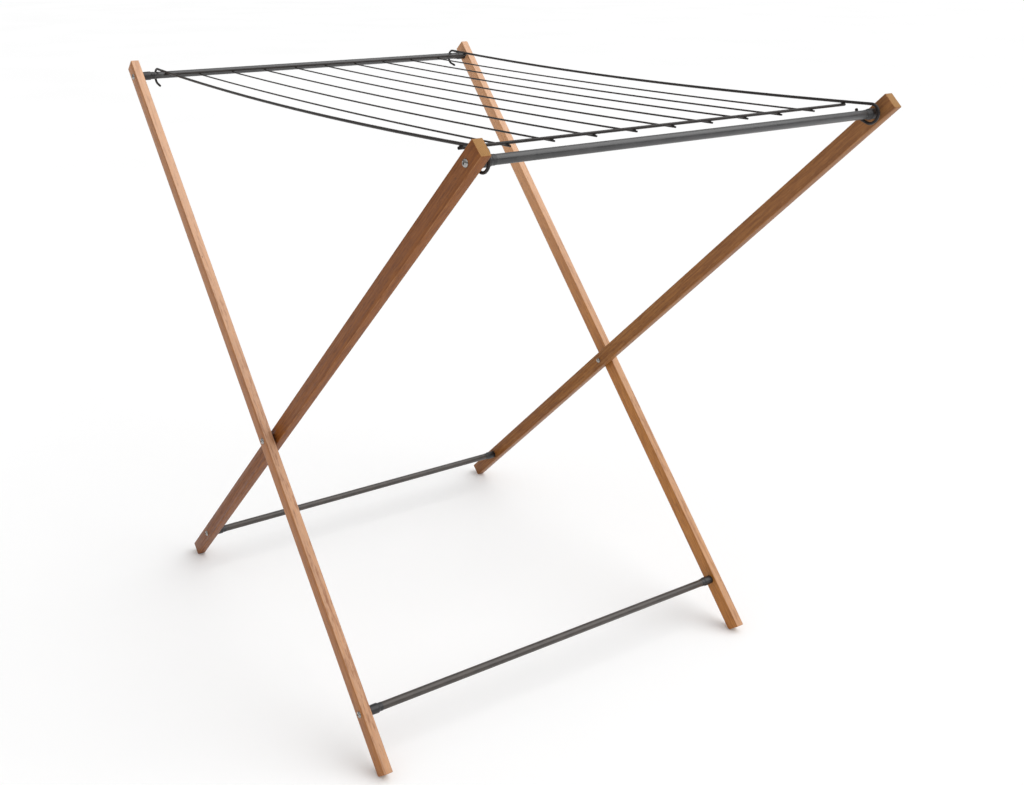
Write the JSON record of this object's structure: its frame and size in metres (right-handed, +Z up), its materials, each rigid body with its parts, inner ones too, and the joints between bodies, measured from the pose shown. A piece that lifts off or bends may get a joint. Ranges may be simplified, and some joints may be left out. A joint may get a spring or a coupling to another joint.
{
  "type": "clothes drying rack",
  "caption": "Folding clothes airer: crossed timber frames joined by steel rails, with a hooked wire drying grid across the top.",
  "frame": {"origin": "on the floor at the centre of the footprint's box", "axes": "+X along the rails, -Y the front, +Z up; the inner frame leans to -Y at its top and the outer frame to +Y"},
  "size_m": [0.9114, 1.2564, 1.1498],
  "materials": {
    "oak": "oiled, satin, fine lengthwise grain",
    "rail_coating": "satin gunmetal powder coat",
    "fitting_coating": "satin dark coating",
    "wire_coating": "satin charcoal coating",
    "zinc_steel": "bright zinc plate",
    "washer_nylon": "matte black"
  },
  "bodies": {
    "outer_frame": {"outer_bottom_rail": "rail_coating", "outer_bottom_rail_bolt_left": "zinc_steel", "outer_bottom_rail_bolt_right": "zinc_steel", "outer_bottom_rail_fitting_left": "fitting_coating", "outer_bottom_rail_fitting_right": "fitting_coating", "outer_leg_left": "oak", "outer_leg_right": "oak", "outer_top_rail": "rail_coating", "outer_top_rail_bolt_left": "zinc_steel", "outer_top_rail_bolt_right": "zinc_steel", "outer_top_rail_fitting_left": "fitting_coating", "outer_top_rail_fitting_right": "fitting_coating", "pivot_bolt_left": "zinc_steel", "pivot_bolt_right": "zinc_steel", "pivot_washer_left": "washer_nylon", "pivot_washer_right": "washer_nylon"},
    "inner_frame": {"inner_bottom_rail": "rail_coating", "inner_bottom_rail_bolt_left": "zinc_steel", "inner_bottom_rail_bolt_right": "zinc_steel", "inner_bottom_rail_fitting_left": "fitting_coating", "inner_bottom_rail_fitting_right": "fitting_coating", "inner_leg_left": "oak", "inner_leg_right": "oak", "inner_top_rail_bolt_left": "zinc_steel", "inner_top_rail_bolt_right": "zinc_steel", "pivot_nut_left": "zinc_steel", "pivot_nut_right": "zinc_steel"},
    "front_rail": {"inner_top_rail": "rail_coating", "inner_top_rail_fitting_left": "fitting_coating", "inner_top_rail_fitting_right": "fitting_coating"},
    "wire_grid": {"cross_wire_back": "wire_coating", "cross_wire_front": "wire_coating", "side_wire_left": "wire_coating", "side_wire_right": "wire_coating", "thin_wire_1": "wire_coating", "thin_wire_2": "wire_coating", "thin_wire_3": "wire_coating", "thin_wire_4": "wire_coating", "thin_wire_5": "wire_coating", "thin_wire_6": "wire_coating", "thin_wire_7": "wire_coating", "thin_wire_8": "wire_coating", "thin_wire_9": "wire_coating"}
  },
  "joints": [
    {"name": "frame_fold", "type": "hinge", "parent": "outer_frame", "child": "inner_frame", "pos_m": [0, 0, 0.48047], "axis": [-1, 0, 0], "range_deg": [0, 82.8]},
    {"name": "front_rail_turn", "type": "hinge", "parent": "inner_frame", "child": "front_rail", "pos_m": [0, -0.59542, 1.11617], "axis": [1, 0, 0], "range_deg": [-46.9, 0]},
    {"name": "grid_swing", "type": "hinge", "parent": "front_rail", "child": "wire_grid", "pos_m": [0, -0.59542, 1.11617], "axis": [1, 0, 0], "range_deg": [0, 115]}
  ],
  "couplings": [
    {"joint": "front_rail_turn", "follows": "frame_fold", "ratio": -0.565}
  ]
}
